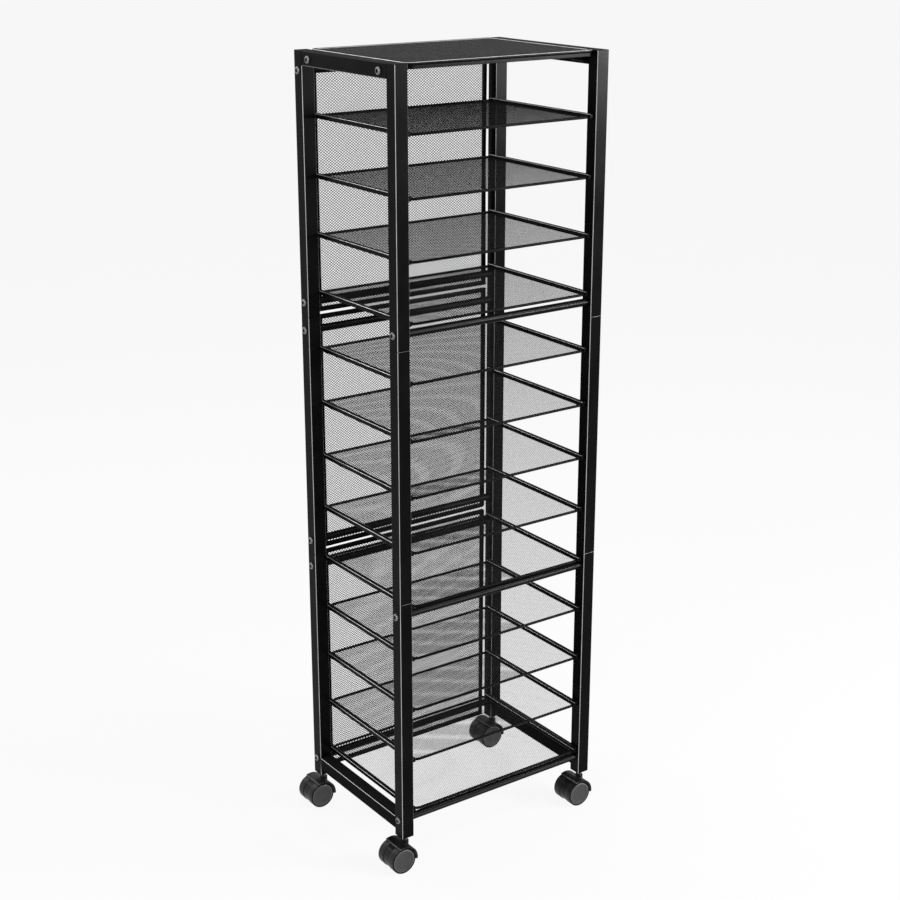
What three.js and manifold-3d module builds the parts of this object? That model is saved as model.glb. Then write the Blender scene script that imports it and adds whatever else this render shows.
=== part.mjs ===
// Mobile file cart: three stacked tube sections on four twin-wheel casters,
// thirteen fixed mesh trays, three mesh back panels and a mesh top shelf.
// Millimetres, +Z up, the front faces -Y. The origin is on the floor, under the
// middle of the whole cart with its casters trailing to the left.
// Turning pieces keep flats on their bores, so a shaft clears its bore at any angle.

import * as THREE from "three";
import { mergeVertices } from "three/addons/utils/BufferGeometryUtils.js";
import Module from "manifold-3d";

const wasm = await Module();
wasm.setup();

// Frame sizes
const frameWidth = 351;
const frameDepth = 249;
const bottomSectionLength = 371.7;
const middleSectionLength = 364.4;
const topSectionLength = 372.5;

// Square tube of the posts and side rails
const postSide = 20;
const postWall = 1.2;
const postCorner = 2.5;
const endPlateThickness = 6;
const spigotLength = 24;
const spigotRoot = 14;
const spigotInset = 1;
const spigotWall = 1.5;
const spigotFit = 0.4;
const sideRailRise = 10;

// Round tube of the front rails and back panels
const railDiameter = 11;
const railWall = 1.2;
const railEndInset = 27;
const railJointInset = 20.5;

// Back panels
const panelSideGap = 5.5;
const panelEndGap = 2.3;
const stripWidth = 9.7;
const stripHeight = 6.5;
const stripThickness = 4.3;
const sheetThickness = 0.6;

// Plain grids of openings in place of the fine mesh
const trayGridBar = 5;
const shelfGridBar = 10;
const panelGridBar = 12;
const gridColumns = 6;
const gridRows = 4;
const panelGridRows = 6;

// Trays
const trayBarWidth = 7;
const trayBarHeight = 6.6;
const trayWire = 4;
const trayWireDrop = 4;
const trayWireInset = 3.7;
const trayCorner = 11;
const trayFrontSetback = 3.5;
const trayBackSetback = 11;
const trayBarSetback = 1;
const trayOverRail = 4.4;
const trayOverJointRail = 1.9;
const middleTrayOverRail = 41.4;
const middleTrayDrop = 45.7;
const topTrayDrop = 86;
const bottomTrayCount = 5;
const middleTrayCount = 4;
const topTrayCount = 4;

// Top shelf and its screws
const shelfRise = 1;
const shelfLipHeight = 9;
const shelfLipWidth = 7;
const shelfSheetDrop = 1;
const shelfFrontSetback = 4.5;
const shelfBackSetback = 6.5;
const lugLength = 24;
const lugDepth = 8;
const screwDrop = 10.7;
const screwEndInset = 37;
const screwHeadRadius = 6;
const screwProud = 3;
const screwShankRadius = 2.9;
const screwBite = 6;
const screwSocketRadius = 2.3;
const screwSocketDepth = 1.8;

// Casters
const wheelRadius = 20;
const wheelWidth = 13.2;
const wheelBevel = 1;
const wheelRimWidth = 3;
const wheelRimRamp = 0.8;
const wheelDiscDrop = 0.8;
const wheelSideGap = 0.5;
const axleRadius = 3;
const axleDepth = 9;
const casterTrail = 13.8;
const webThickness = 12;
const webRadius = 19.2;
const fenderGap = 0.8;
const fenderThickness = 1.6;
const fenderShift = 1.8;
const fenderShortfall = 0.4;
const neckRise = 5.8;
const bossRise = 0.3;
const pinRadius = 3.4;
const pinDrop = 2;
const neckRadius = 4.3;
const threadRadius = 3.9;
const threadLength = 18;

// Clearances
const seatGap = 0.3;
const turningGap = 0.15;
const weldSink = 0.3;
const cutOverrun = 2;

// Facets and turns
const tubeArcSteps = 6;
const fenderSteps = 12;
const cornerArcSteps = 1;
const wideCornerArcSteps = 2;
const wheelSides = 24;
const pinSides = 16;
const hexSides = 6;
const fenderStart = THREE.MathUtils.degToRad(-7);
const fenderEnd = THREE.MathUtils.degToRad(108);
const quarterTurn = Math.PI / 2;

// Worked out from the sizes above
const railRadius = railDiameter / 2;
const innerWidth = frameWidth - postSide * 2;
const postX = (frameWidth - postSide) / 2;
const postY = (frameDepth - postSide) / 2;
const frameHeight = bottomSectionLength + middleSectionLength + topSectionLength;
const hoodRadius = wheelRadius + fenderGap + fenderThickness;
const hoodFront = hoodRadius + fenderShift;
const postLift = wheelRadius + hoodFront + neckRise;
const bossEdge = casterTrail - webThickness / 2;
const bossTop = Math.sqrt(hoodRadius ** 2 - (bossEdge - fenderShift) ** 2) + bossRise;
const leftReach = postX + casterTrail + wheelRadius;
const rightReach = frameWidth / 2 + screwProud;
const shiftX = (leftReach - rightReach) / 2;

// The three sections, with their rails' and trays' heights above each section's foot
const sections = [
  {
    name: "bottom",
    base: 0,
    length: bottomSectionLength,
    lowRail: railEndInset,
    highRail: bottomSectionLength - railJointInset,
    trayCount: bottomTrayCount,
    firstTray: railEndInset + railRadius + trayOverRail + trayBarHeight,
    lastTray: bottomSectionLength - railJointInset + railRadius + trayOverJointRail + trayBarHeight,
  },
  {
    name: "middle",
    base: bottomSectionLength,
    length: middleSectionLength,
    lowRail: railJointInset,
    highRail: middleSectionLength - railJointInset,
    trayCount: middleTrayCount,
    firstTray: railJointInset + railRadius + middleTrayOverRail + trayBarHeight,
    lastTray: middleSectionLength - middleTrayDrop,
  },
  {
    name: "top",
    base: bottomSectionLength + middleSectionLength,
    length: topSectionLength,
    lowRail: railJointInset,
    highRail: topSectionLength - railEndInset,
    trayCount: topTrayCount,
    firstTray: railJointInset + railRadius + trayOverRail + trayBarHeight,
    lastTray: topSectionLength - topTrayDrop,
  },
];
const [bottomSection, , topSection] = sections;

const blackEnamel = { color: 0x101011, roughness: 0.35, metalness: 0.3 };
const meshEnamel = { color: 0x161617, roughness: 0.5, metalness: 0.3 };
const screwSteel = { color: 0x55565a, roughness: 0.35, metalness: 0.9 };
const zincSteel = { color: 0x8c8d90, roughness: 0.4, metalness: 0.9 };
const hoodPlastic = { color: 0x17171a, roughness: 0.5, metalness: 0 };
const wheelPlastic = { color: 0x47474a, roughness: 0.6, metalness: 0 };

function solid(geometry) {
  const plain = geometry.clone();
  plain.deleteAttribute("normal");
  plain.deleteAttribute("uv");
  const merged = mergeVertices(plain);
  const vertProperties = merged.attributes.position.array;
  const triVerts = new Uint32Array(merged.index.array);
  return new wasm.Manifold(new wasm.Mesh({ numProp: 3, vertProperties, triVerts }));
}

// Joins the first list into one body and cuts the second list out of it
function fuse(joined, cuts = []) {
  let body = joined.map(solid).reduce((whole, next) => whole.add(next));
  for (const tool of cuts) {
    body = body.subtract(solid(tool));
  }
  const mesh = body.getMesh();
  const geometry = new THREE.BufferGeometry();
  geometry.setAttribute("position", new THREE.BufferAttribute(mesh.vertProperties, 3));
  geometry.setIndex(new THREE.BufferAttribute(mesh.triVerts, 1));
  geometry.computeVertexNormals();
  return geometry;
}

function place(name, geometry, look, position, parent) {
  const mesh = new THREE.Mesh(geometry, new THREE.MeshStandardMaterial(look));
  mesh.name = name;
  mesh.position.copy(position);
  parent.add(mesh);
  return mesh;
}

// The radius of the corners of a polygon whose flats lie on a circle
function overFlats(radius, sides) {
  return radius / Math.cos(Math.PI / sides);
}

// Adds a rectangle with round corners, centred on the origin, to a shape or hole
function roundRectangle(path, width, height, corner) {
  const x = width / 2 - corner;
  const y = height / 2 - corner;
  path.absarc(x, -y, corner, -quarterTurn, 0);
  path.absarc(x, y, corner, 0, quarterTurn);
  path.absarc(-x, y, corner, quarterTurn, Math.PI);
  path.absarc(-x, -y, corner, Math.PI, Math.PI + quarterTurn);
  path.closePath();
  return path;
}

function rectangle(path, width, height) {
  path.moveTo(-width / 2, -height / 2);
  path.lineTo(width / 2, -height / 2);
  path.lineTo(width / 2, height / 2);
  path.lineTo(-width / 2, height / 2);
  path.closePath();
  return path;
}

function circle(path, radius) {
  path.absarc(0, 0, radius, 0, Math.PI * 2);
  return path;
}

function hollow(shape, hole) {
  shape.holes.push(hole);
  return shape;
}

// A prism from z = 0 upwards
function prism(shape, height, curveSegments) {
  return new THREE.ExtrudeGeometry(shape, { depth: height, bevelEnabled: false, curveSegments });
}

// A prism along Y whose shape is drawn in X and Z, from y = 0 backwards
function prismAlongY(shape, length, curveSegments) {
  return prism(shape, length, curveSegments).rotateX(quarterTurn).translate(0, length, 0);
}

// A cylinder along one axis, centred on the origin, with flats square to the axes
function roundBar(radius, length, axis, sides) {
  const bar = new THREE.CylinderGeometry(radius, radius, length, sides).rotateY(Math.PI / sides);
  if (axis === "x") {
    return bar.rotateZ(-quarterTurn);
  }
  return axis === "z" ? bar.rotateX(quarterTurn) : bar;
}

function slab(width, depth, height, x, y, z) {
  return new THREE.BoxGeometry(width, depth, height).translate(x, y, z);
}

// Slabs that cut a grid of openings through a sheet, with bars between and around them.
// The sheet lies flat, its middle at the origin.
function gridCutters(width, depth, bar, rows) {
  const openWidth = (width - bar) / gridColumns - bar;
  const openDepth = (depth - bar) / rows - bar;
  const height = sheetThickness + cutOverrun;
  const cutters = [];
  for (let column = 0; column < gridColumns; column += 1) {
    for (let row = 0; row < rows; row += 1) {
      const x = (openWidth + bar) * (column - (gridColumns - 1) / 2);
      const y = (openDepth + bar) * (row - (rows - 1) / 2);
      cutters.push(slab(openWidth, openDepth, height, x, y, 0));
    }
  }
  return cutters;
}

function squareTube(length) {
  const outline = roundRectangle(new THREE.Shape(), postSide, postSide, postCorner);
  const boreSide = postSide - postWall * 2;
  const bore = roundRectangle(new THREE.Path(), boreSide, boreSide, postCorner - postWall);
  return prism(hollow(outline, bore), length, cornerArcSteps);
}

// The tongue on a post's top that the next section drops over, and its welded root
function spigotParts(topZ) {
  const boreSide = postSide - postWall * 2;
  const side = boreSide - spigotFit * 2;
  const coreSide = side - spigotWall * 2;
  const foot = topZ - spigotInset - spigotRoot;
  const rootSide = boreSide + weldSink * 2;
  const tongueLength = spigotInset + spigotRoot + spigotLength;
  const coreLength = tongueLength + cutOverrun * 2;
  const root = prism(rectangle(new THREE.Shape(), rootSide, rootSide), spigotRoot, cornerArcSteps);
  const tongue = prism(rectangle(new THREE.Shape(), side, side), tongueLength, cornerArcSteps);
  const core = prism(rectangle(new THREE.Shape(), coreSide, coreSide), coreLength, cornerArcSteps);
  return {
    joined: [root.translate(0, 0, foot), tongue.translate(0, 0, foot)],
    core: core.translate(0, 0, foot - cutOverrun),
  };
}

// A full-width plate inside the tube, welded to its walls
function tubePlate(thickness) {
  const side = postSide - postWall * 2 + weldSink * 2;
  return prism(rectangle(new THREE.Shape(), side, side), thickness, cornerArcSteps);
}

function bottomPost(length) {
  const spigot = spigotParts(length);
  const stemHole = roundBar(
    overFlats(threadRadius + turningGap, pinSides),
    (endPlateThickness + cutOverrun) * 2,
    "z",
    pinSides,
  );
  return fuse([squareTube(length), tubePlate(endPlateThickness), ...spigot.joined], [spigot.core, stemHole]);
}

function middlePost(length) {
  const spigot = spigotParts(length);
  return fuse([squareTube(length), ...spigot.joined], [spigot.core]);
}

function topPost(length) {
  const cap = tubePlate(postWall).translate(0, 0, length - postWall);
  return fuse([squareTube(length), cap]);
}

function roundTube(length) {
  const outline = circle(new THREE.Shape(), railRadius);
  const bore = circle(new THREE.Path(), railRadius - railWall);
  const tube = prism(hollow(outline, bore), length, tubeArcSteps);
  return tube.translate(0, 0, -length / 2).rotateY(quarterTurn);
}

// A side rail with a bore across it at each of the given places along Y
function sideRail(length, screwPlaces) {
  const tube = squareTube(length).translate(0, 0, -length / 2).rotateX(quarterTurn);
  const bores = screwPlaces.map((y) => {
    const radius = overFlats(screwShankRadius + turningGap, pinSides);
    const drill = roundBar(radius, postSide + cutOverrun * 2, "x", pinSides);
    return drill.translate(0, y, postSide / 2 - screwDrop);
  });
  return fuse([tube], bores);
}

// A back panel: two round tubes, a flat frame behind them and the sheet in it.
// Its own origin is at the section's foot, on the back posts' centre line.
function backPanel(section) {
  const width = innerWidth - panelSideGap * 2;
  const height = section.length - panelEndGap * 2;
  const holeWidth = width - stripWidth * 2;
  const holeHeight = height - stripHeight * 2;
  const frontY = railRadius - weldSink;
  const midZ = section.length / 2;
  const outline = rectangle(new THREE.Shape(), width, height);
  const window = rectangle(new THREE.Path(), holeWidth, holeHeight);
  const strips = prismAlongY(hollow(outline, window), stripThickness, cornerArcSteps);
  const sheetY = frontY + stripThickness / 2;
  const grown = weldSink * 2;
  const sheet = slab(holeWidth + grown, sheetThickness, holeHeight + grown, 0, sheetY, midZ);
  const cutters = gridCutters(holeWidth, holeHeight, panelGridBar, panelGridRows).map((cutter) =>
    cutter.rotateX(quarterTurn).translate(0, sheetY, midZ),
  );
  const tubeLength = innerWidth - seatGap * 2;
  const lowTube = roundTube(tubeLength).translate(0, 0, section.lowRail);
  const highTube = roundTube(tubeLength).translate(0, 0, section.highRail);
  return fuse([lowTube, highTube, strips.translate(0, frontY, midZ), sheet], cutters);
}

// A ring with round corners from z = 0 upwards, the sheet inside it and its grid's cutters
function rimAndSheet({ width, depth, corner, rimWidth, rimHeight, sheetZ, gridBar }) {
  const innerSpan = width - rimWidth * 2;
  const innerReach = depth - rimWidth * 2;
  const innerCorner = corner - rimWidth;
  const outline = roundRectangle(new THREE.Shape(), width, depth, corner);
  const window = roundRectangle(new THREE.Path(), innerSpan, innerReach, innerCorner);
  const rim = prism(hollow(outline, window), rimHeight, wideCornerArcSteps);
  const grown = weldSink * 2;
  const cover = roundRectangle(new THREE.Shape(), innerSpan + grown, innerReach + grown, innerCorner);
  const sheet = prism(cover, sheetThickness, wideCornerArcSteps).translate(0, 0, sheetZ);
  const cutters = gridCutters(innerSpan, innerReach, gridBar, gridRows).map((cutter) =>
    cutter.translate(0, 0, sheetZ + sheetThickness / 2),
  );
  return { joined: [rim, sheet], cutters };
}

// A tray, with z = 0 at the top of its side bars and y = 0 at the frame's middle
function trayGeometry() {
  const frontY = trayFrontSetback - frameDepth / 2;
  const backY = frameDepth / 2 - trayBackSetback;
  const midY = (frontY + backY) / 2;
  const footZ = -trayWireDrop - trayWire / 2;
  const rim = rimAndSheet({
    width: innerWidth - seatGap * 2 - trayWireInset * 2,
    depth: backY - frontY,
    corner: trayCorner,
    rimWidth: trayWire,
    rimHeight: trayWire,
    sheetZ: (trayWire - sheetThickness) / 2,
    gridBar: trayGridBar,
  });
  const barLength = backY - frontY - trayBarSetback;
  const barX = innerWidth / 2 - seatGap - trayBarWidth / 2;
  const barY = midY + trayBarSetback / 2;
  const bars = [-barX, barX].map((x) =>
    slab(trayBarWidth, barLength, trayBarHeight, x, barY, -trayBarHeight / 2),
  );
  const lay = (piece) => piece.translate(0, midY, footZ);
  return fuse([...rim.joined.map(lay), ...bars], rim.cutters.map(lay));
}

// The top shelf, with z = 0 at the posts' tops and a lug for each screw
function shelfGeometry(screwPlaces) {
  const frontY = shelfFrontSetback - frameDepth / 2;
  const backY = frameDepth / 2 - shelfBackSetback;
  const width = innerWidth - seatGap * 2;
  const footZ = shelfRise - shelfLipHeight;
  const rim = rimAndSheet({
    width,
    depth: backY - frontY,
    corner: trayCorner,
    rimWidth: shelfLipWidth,
    rimHeight: shelfLipHeight,
    sheetZ: shelfLipHeight - shelfSheetDrop - sheetThickness,
    gridBar: shelfGridBar,
  });
  const lugX = (width - shelfLipWidth) / 2;
  const lugHeight = lugDepth + weldSink;
  const lugs = [];
  const drills = [];
  for (const y of screwPlaces) {
    for (const x of [-lugX, lugX]) {
      lugs.push(slab(shelfLipWidth, lugLength, lugHeight, x, y, footZ + weldSink - lugHeight / 2));
      const radius = overFlats(screwShankRadius + turningGap, pinSides);
      const drill = roundBar(radius, shelfLipWidth + cutOverrun * 2, "x", pinSides);
      drills.push(drill.translate(x, y, -screwDrop));
    }
  }
  const lay = (piece) => piece.translate(0, (frontY + backY) / 2, footZ);
  return fuse([...rim.joined.map(lay), ...lugs], [...rim.cutters.map(lay), ...drills]);
}

// A button-head screw along X, with x = 0 at the face that it is screwed to
function screwGeometry() {
  const shankLength = postSide + seatGap + screwBite;
  const crownRadius = screwHeadRadius / 2;
  const profile = [
    new THREE.Vector2(0, -shankLength),
    new THREE.Vector2(screwShankRadius, -shankLength),
    new THREE.Vector2(screwShankRadius, seatGap),
    new THREE.Vector2(screwHeadRadius, seatGap),
    new THREE.Vector2(screwHeadRadius, screwProud / 2),
    new THREE.Vector2(crownRadius, screwProud),
    new THREE.Vector2(0, screwProud),
  ];
  const body = new THREE.LatheGeometry(profile, pinSides).rotateZ(-quarterTurn);
  const socket = roundBar(screwSocketRadius, screwSocketDepth * 2, "x", hexSides);
  return fuse([body], [socket.translate(screwProud, 0, 0)]);
}

// How far the fender's outside is from the axle at an angle about it
function fenderReach(angle) {
  const across = fenderShift * Math.sin(angle);
  return fenderShift * Math.cos(angle) + Math.sqrt(hoodRadius ** 2 - across ** 2);
}

// The part of the fender's side view between the axle's inner radius and a reach
function fenderShape(innerRadius, reachAt) {
  const turn = (fenderEnd - fenderStart) / fenderSteps;
  const angles = Array.from({ length: fenderSteps + 1 }, (_, i) => fenderStart + turn * i);
  const point = (radius, angle) => new THREE.Vector2(radius * Math.cos(angle), radius * Math.sin(angle));
  const outside = angles.map((angle) => point(reachAt(angle), angle));
  if (innerRadius === 0) {
    return new THREE.Shape([...outside, new THREE.Vector2(0, 0)]);
  }
  return new THREE.Shape([...outside, ...angles.reverse().map((angle) => point(innerRadius, angle))]);
}

// The caster's hood: the web between the wheels, the fender over them and the boss
// that turns on the stem. Its own origin is on the axle.
function hoodGeometry() {
  const width = (webThickness / 2 + wheelSideGap + wheelWidth - fenderShortfall) * 2;
  const fenderInner = wheelRadius + fenderGap;
  const fender = prismAlongY(fenderShape(fenderInner, fenderReach), width, tubeArcSteps);
  fender.translate(0, -width / 2, 0);
  const bridge = prismAlongY(fenderShape(0, () => fenderInner + weldSink), webThickness, tubeArcSteps);
  bridge.translate(0, -webThickness / 2, 0);
  const web = roundBar(webRadius, webThickness, "y", wheelSides);
  const bossHeight = bossTop + pinDrop;
  const boss = roundBar(webThickness / 2, bossHeight, "z", pinSides);
  boss.translate(casterTrail, 0, bossTop - bossHeight / 2);
  const axleHole = roundBar(
    overFlats(axleRadius + turningGap, pinSides),
    webThickness + cutOverrun * 2,
    "y",
    pinSides,
  );
  const holeHeight = bossTop + pinDrop + seatGap + cutOverrun;
  const pinHole = roundBar(overFlats(pinRadius + turningGap, pinSides), holeHeight, "z", pinSides);
  pinHole.translate(casterTrail, 0, bossTop + cutOverrun - holeHeight / 2);
  return fuse([fender, bridge, web, boss], [axleHole, pinHole]);
}

// The stem: a pin in the hood, the neck and the thread in the post, z = 0 at the axle
function stemGeometry() {
  const neckTop = postLift - wheelRadius - seatGap;
  const neckFoot = bossTop + seatGap;
  const profile = [
    new THREE.Vector2(0, -pinDrop),
    new THREE.Vector2(pinRadius, -pinDrop),
    new THREE.Vector2(pinRadius, neckFoot),
    new THREE.Vector2(neckRadius, neckFoot),
    new THREE.Vector2(neckRadius, neckTop),
    new THREE.Vector2(threadRadius, neckTop),
    new THREE.Vector2(threadRadius, neckTop + threadLength),
    new THREE.Vector2(0, neckTop + threadLength),
  ];
  return new THREE.LatheGeometry(profile, pinSides).rotateX(quarterTurn);
}

// One wheel, y = 0 at its inner side, with its disc and raised rim outside
function wheelGeometry() {
  const discY = wheelWidth - wheelDiscDrop;
  const boreRadius = axleRadius + turningGap;
  const boreDepth = axleDepth + seatGap;
  const rimInner = wheelRadius - wheelBevel - wheelRimWidth;
  const outline = [
    [0, boreDepth],
    [boreRadius, boreDepth],
    [boreRadius, 0],
    [wheelRadius - wheelBevel, 0],
    [wheelRadius, wheelBevel],
    [wheelRadius, wheelWidth - wheelBevel],
    [wheelRadius - wheelBevel, wheelWidth],
    [rimInner, wheelWidth],
    [rimInner - wheelRimRamp, discY],
    [0, discY],
  ];
  const profile = outline.map(([radius, y]) => new THREE.Vector2(overFlats(radius, wheelSides), y));
  return new THREE.LatheGeometry(profile, wheelSides, Math.PI / wheelSides);
}

function axleGeometry() {
  const length = webThickness + (wheelSideGap + axleDepth) * 2;
  return roundBar(axleRadius, length, "y", pinSides);
}

function addPosts(stand) {
  const makers = { bottom: bottomPost, middle: middlePost, top: topPost };
  for (const section of sections) {
    const geometry = makers[section.name](section.length - seatGap);
    for (const [end, y] of [["front", -postY], ["back", postY]]) {
      for (const [side, x] of [["left", -postX], ["right", postX]]) {
        const position = new THREE.Vector3(x, y, section.base);
        place(`post_${end}_${side}_${section.name}`, geometry, blackEnamel, position, stand);
      }
    }
  }
}

function addFrontRails(stand) {
  const geometry = roundTube(innerWidth - seatGap * 2);
  const heights = {
    front_rail_bottom: bottomSection.lowRail,
    front_rail_lower_joint: bottomSection.highRail,
    front_rail_upper_joint: topSection.base + topSection.lowRail,
  };
  for (const [name, z] of Object.entries(heights)) {
    place(name, geometry, blackEnamel, new THREE.Vector3(0, -postY, z), stand);
  }
}

function addSideRails(stand, screwPlaces) {
  const length = frameDepth - postSide * 2 - seatGap * 2;
  const bottomZ = sideRailRise + postSide / 2;
  const topZ = frameHeight - seatGap - postSide / 2;
  const plain = sideRail(length, []);
  const bored = sideRail(length, screwPlaces);
  for (const [side, x] of [["left", -postX], ["right", postX]]) {
    place(`side_rail_${side}_bottom`, plain, blackEnamel, new THREE.Vector3(x, 0, bottomZ), stand);
    place(`side_rail_${side}_top`, bored, blackEnamel, new THREE.Vector3(x, 0, topZ), stand);
  }
}

function addBackPanels(stand) {
  for (const section of sections) {
    const position = new THREE.Vector3(0, postY, section.base);
    place(`back_panel_${section.name}`, backPanel(section), meshEnamel, position, stand);
  }
}

function addTrays(stand) {
  const geometry = trayGeometry();
  let number = 1;
  for (const section of sections) {
    const pitch = (section.lastTray - section.firstTray) / (section.trayCount - 1);
    for (let i = 0; i < section.trayCount; i += 1) {
      const name = `tray_${String(number).padStart(2, "0")}`;
      const z = section.base + section.firstTray + pitch * i;
      place(name, geometry, meshEnamel, new THREE.Vector3(0, 0, z), stand);
      number += 1;
    }
  }
}

function addTopShelf(stand, screwPlaces) {
  const topZ = frameHeight - seatGap;
  place("top_shelf", shelfGeometry(screwPlaces), meshEnamel, new THREE.Vector3(0, 0, topZ), stand);
  const screw = screwGeometry();
  for (const y of screwPlaces) {
    const end = y < 0 ? "front" : "back";
    for (const [side, x] of [["left", -frameWidth / 2], ["right", frameWidth / 2]]) {
      const position = new THREE.Vector3(x, y, topZ - screwDrop);
      const mesh = place(`shelf_screw_${end}_${side}`, screw, screwSteel, position, stand);
      mesh.rotation.z = side === "left" ? Math.PI : 0;
    }
  }
}

// One caster, standing on z = 0 under its post, its wheels trailing to the left
function casterGroup(name, geometries) {
  const group = new THREE.Group();
  const onStem = new THREE.Vector3(0, 0, wheelRadius);
  const onAxle = new THREE.Vector3(-casterTrail, 0, wheelRadius);
  const wheelY = webThickness / 2 + wheelSideGap;
  place(`${name}_stem`, geometries.stem, zincSteel, onStem, group);
  place(`${name}_hood`, geometries.hood, hoodPlastic, onAxle, group);
  place(`${name}_axle`, geometries.axle, zincSteel, onAxle, group);
  for (const [face, side] of [["front", -1], ["back", 1]]) {
    const position = new THREE.Vector3(-casterTrail, side * wheelY, wheelRadius);
    const wheel = place(`${name}_wheel_${face}`, geometries.wheel, wheelPlastic, position, group);
    wheel.rotation.z = side < 0 ? Math.PI : 0;
  }
  return group;
}

function addCasters(cart) {
  const geometries = {
    stem: stemGeometry(),
    hood: hoodGeometry(),
    axle: axleGeometry(),
    wheel: wheelGeometry(),
  };
  for (const [end, y] of [["front", -postY], ["back", postY]]) {
    for (const [side, x] of [["left", -postX], ["right", postX]]) {
      const caster = casterGroup(`caster_${end}_${side}`, geometries);
      caster.position.set(x + shiftX, y, 0);
      cart.add(caster);
    }
  }
}

const cart = new THREE.Group();
const stand = new THREE.Group();
stand.position.set(shiftX, 0, postLift);
cart.add(stand);

const shelfScrewY = frameDepth / 2 - screwEndInset;
const shelfScrewPlaces = [-shelfScrewY, shelfScrewY];
addPosts(stand);
addFrontRails(stand);
addSideRails(stand, shelfScrewPlaces);
addBackPanels(stand);
addTrays(stand);
addTopShelf(stand, shelfScrewPlaces);
addCasters(cart);

export default cart;
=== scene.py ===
"""Looks of the mobile file cart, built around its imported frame. Metres, +Z up, the front faces -Y."""

import math

import bpy
from mathutils import Matrix, Vector


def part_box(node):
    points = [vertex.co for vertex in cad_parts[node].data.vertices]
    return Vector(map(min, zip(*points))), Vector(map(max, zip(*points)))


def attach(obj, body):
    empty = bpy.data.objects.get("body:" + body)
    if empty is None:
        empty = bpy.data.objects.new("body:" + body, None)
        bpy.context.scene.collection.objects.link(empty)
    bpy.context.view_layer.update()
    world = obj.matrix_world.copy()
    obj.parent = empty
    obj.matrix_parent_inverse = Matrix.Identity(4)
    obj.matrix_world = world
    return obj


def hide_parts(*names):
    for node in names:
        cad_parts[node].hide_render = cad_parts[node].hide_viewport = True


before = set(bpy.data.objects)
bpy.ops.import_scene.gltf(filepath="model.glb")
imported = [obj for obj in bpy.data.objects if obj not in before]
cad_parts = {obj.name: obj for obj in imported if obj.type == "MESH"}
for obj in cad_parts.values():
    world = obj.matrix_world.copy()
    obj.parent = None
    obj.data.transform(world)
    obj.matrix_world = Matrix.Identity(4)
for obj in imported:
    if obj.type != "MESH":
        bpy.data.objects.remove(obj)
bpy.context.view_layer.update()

MM = 0.001
TINY = 1e-6
ALONG = 0.99
SECTIONS = ("bottom", "middle", "top")
ENDS = ("front", "back")
SIDES = ("left", "right")
FRONT_RAILS = ("bottom", "lower_joint", "upper_joint")
TRAYS = tuple(f"tray_{number:02d}" for number in range(1, 14))
FRAME_BODY = "frame"

# Camera, fitted to the photograph and kept from the middle of the posts' feet
CAMERA_FROM_POSTS = Vector((-1.3520, -1.9023, 1.3200))
CAMERA_TURN = math.radians(35.353)
CAMERA_TILT = math.radians(18.654)
CAMERA_LENS = 66.88
CAMERA_SENSOR = 36.0
CAMERA_CLIP = (0.05, 100.0)

# Points that carry this mark are painted paler, as a painted highlight
HIGHLIGHT_MARK = "painted_highlight"

# Square tube
TUBE_CORNER = 1.3 * MM
TUBE_CORNER_STEPS = 6
TUBE_END_EASE = 0.5 * MM
SECTION_GAP = 0.3 * MM
WELD_FADE = 0.5 * MM
# Painted highlight strengths: weaker on corners that face +X, and on the front edge at a front post's
# upper end
RIGHT_HIGHLIGHT = 0.3
JOINT_HIGHLIGHT = {"left": 0.22, "right": 0.4}

# Round tubes and back panels; the insets are heights above a section's foot or under its top
RAIL_RADIUS = 5.5 * MM
RAIL_SIDES = 48
# A painted highlight along the front rails: its strength, the angle above their front, and its reach
RAIL_HIGHLIGHT = 0.055
RAIL_HIGHLIGHT_ANGLE = math.radians(13.0)
RAIL_HIGHLIGHT_REACH = math.radians(18.0)
RAIL_END_INSET = 27.0 * MM
RAIL_JOINT_INSET = 20.5 * MM
PANEL_BAR = 6.5 * MM
PANEL_THICKNESS = 4.3 * MM
PANEL_SIDE_GAP = 5.2 * MM
PANEL_CORNER = 2.0 * MM
PANEL_EASE = 0.6 * MM

# Trays and shelf
TRAY_BAR_WIDTH = 7.0 * MM
TRAY_BAR_EASE = 1.0 * MM
# How wide the painted highlight on a tray bar's top edges is
TRAY_BAR_HIGHLIGHT_WIDTH = 0.7
TRAY_WIRE_RADIUS = 2.0 * MM
TRAY_WIRE_DROP = 4.0 * MM
TRAY_WIRE_INSET = 3.7 * MM
TRAY_CORNER = 9.0 * MM
TRAY_BAR_SETBACK = 1.0 * MM
LIP_WIDTH = 7.0 * MM
LIP_HEIGHT = 9.0 * MM
LIP_BEAD = 4.2 * MM
LIP_EASE = 1.6 * MM
LIP_STEP = 0.5 * MM
LIP_CORNER = 11.0 * MM
# How wide the painted highlight on the shelf lip's upper edges is
LIP_HIGHLIGHT_WIDTH = 0.5
BAND_EASE = 0.4 * MM
LUG_REACH = 12.0 * MM
SHELF_MESH_DROP = 1.3 * MM
NET_CORNER_SHARE = 0.6

# Expanded mesh: diamonds this wide along X and this high across it
DIAMOND_WIDTH = 5.1 * MM
DIAMOND_HEIGHT = 3.9 * MM
TRAY_STRAND = (0.07 * MM, 0.35 * MM)
PANEL_STRAND = (0.68 * MM, 0.4 * MM)
SHELF_STRAND = (0.5 * MM, 0.45 * MM)
STRAND_STAGGER = 0.06 * MM

# Screws
SCREW_RADIUS = 5.3 * MM
SCREW_PROUD = 2.9 * MM
SCREW_ROUND = 2.0 * MM
SCREW_SOCKET = 3.0 * MM
SCREW_SOCKET_DEPTH = 1.7 * MM
SCREW_SOCKET_SIDES = 6

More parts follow.
